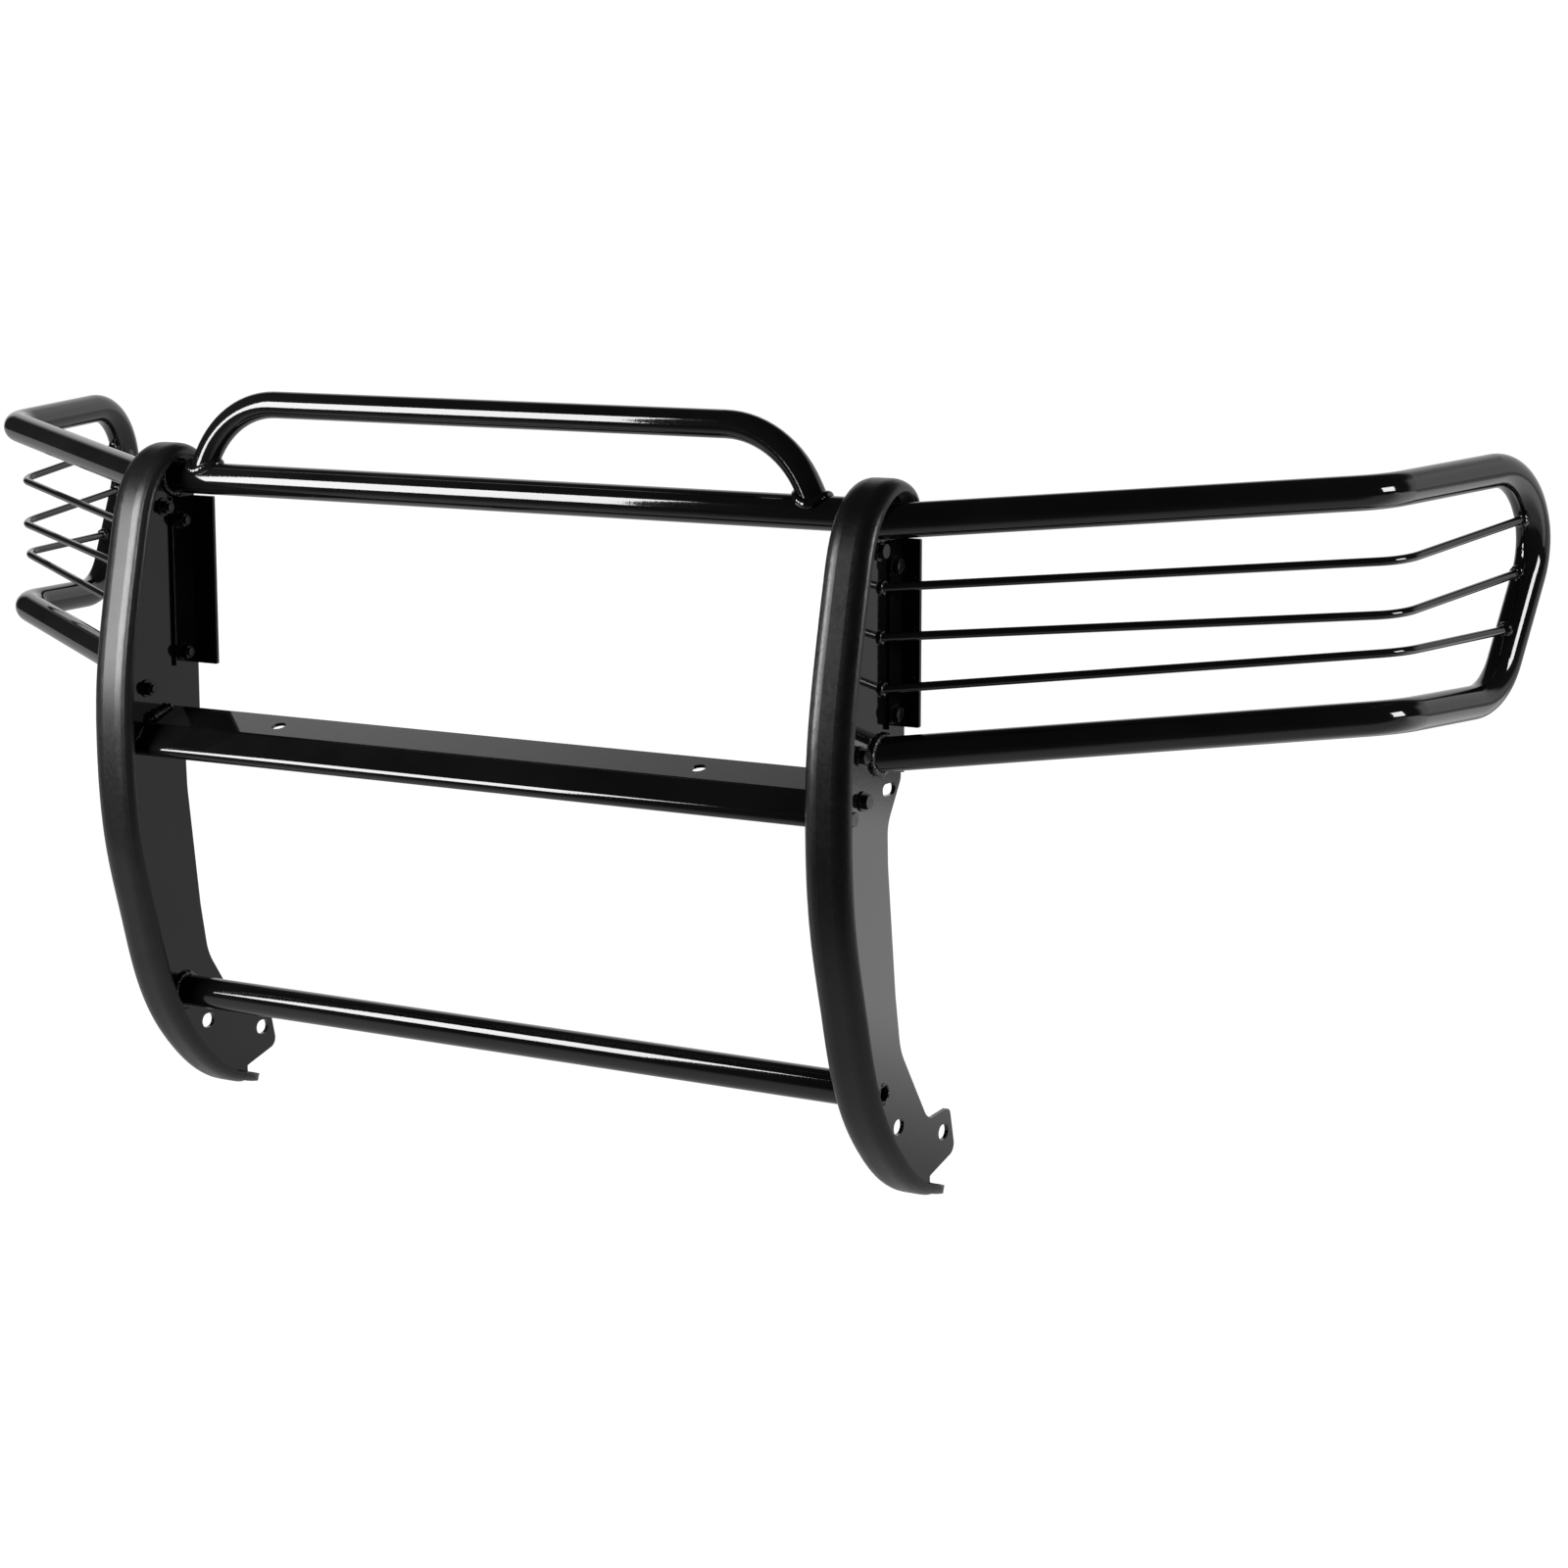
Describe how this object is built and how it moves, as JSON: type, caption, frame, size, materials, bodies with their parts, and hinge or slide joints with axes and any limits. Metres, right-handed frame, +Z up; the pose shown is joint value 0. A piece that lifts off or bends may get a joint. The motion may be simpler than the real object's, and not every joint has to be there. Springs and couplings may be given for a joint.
{
  "type": "vehicle front grille guard",
  "caption": "Tubular grille guard with curved plate uprights, rubber nose strips, cross tubes, bent crossmember, low hoop and wrap-around headlamp wings with thin rods.",
  "frame": {"origin": "on the vehicle's centre plane, on the line through the two forward lower mounting slots of the uprights", "axes": "+X across the vehicle (to the right in a view from the front), -Y forwards away from the grille, +Z up"},
  "size_m": [2.0988, 0.6745, 0.8795],
  "materials": {
    "gloss_powder_coat": "gloss black powder coat",
    "black_rubber": "satin",
    "black_fastener": "black plated, slightly duller than the coating"
  },
  "bodies": {
    "root": {"crossmember": "gloss_powder_coat", "crossmember_end_tab_left": "gloss_powder_coat", "crossmember_end_tab_right": "gloss_powder_coat", "flange_nuts": "black_fastener", "hoop_tube": "gloss_powder_coat", "inner_angle_left": "gloss_powder_coat", "inner_angle_right": "gloss_powder_coat", "long_flange_bolts": "black_fastener", "lower_cross_tube": "gloss_powder_coat", "nose_bar_left": "gloss_powder_coat", "nose_bar_right": "gloss_powder_coat", "outer_angle_left": "gloss_powder_coat", "outer_angle_right": "gloss_powder_coat", "rub_strip_left": "black_rubber", "rub_strip_right": "black_rubber", "short_flange_bolts": "black_fastener", "top_cross_tube": "gloss_powder_coat", "upright_plate_left": "gloss_powder_coat", "upright_plate_right": "gloss_powder_coat", "wing_plate_left": "gloss_powder_coat", "wing_plate_right": "gloss_powder_coat", "wing_rod_lower_left": "gloss_powder_coat", "wing_rod_lower_right": "gloss_powder_coat", "wing_rod_middle_left": "gloss_powder_coat", "wing_rod_middle_right": "gloss_powder_coat", "wing_rod_upper_left": "gloss_powder_coat", "wing_rod_upper_right": "gloss_powder_coat", "wing_tube_left": "gloss_powder_coat", "wing_tube_right": "gloss_powder_coat"}
  },
  "joints": []
}
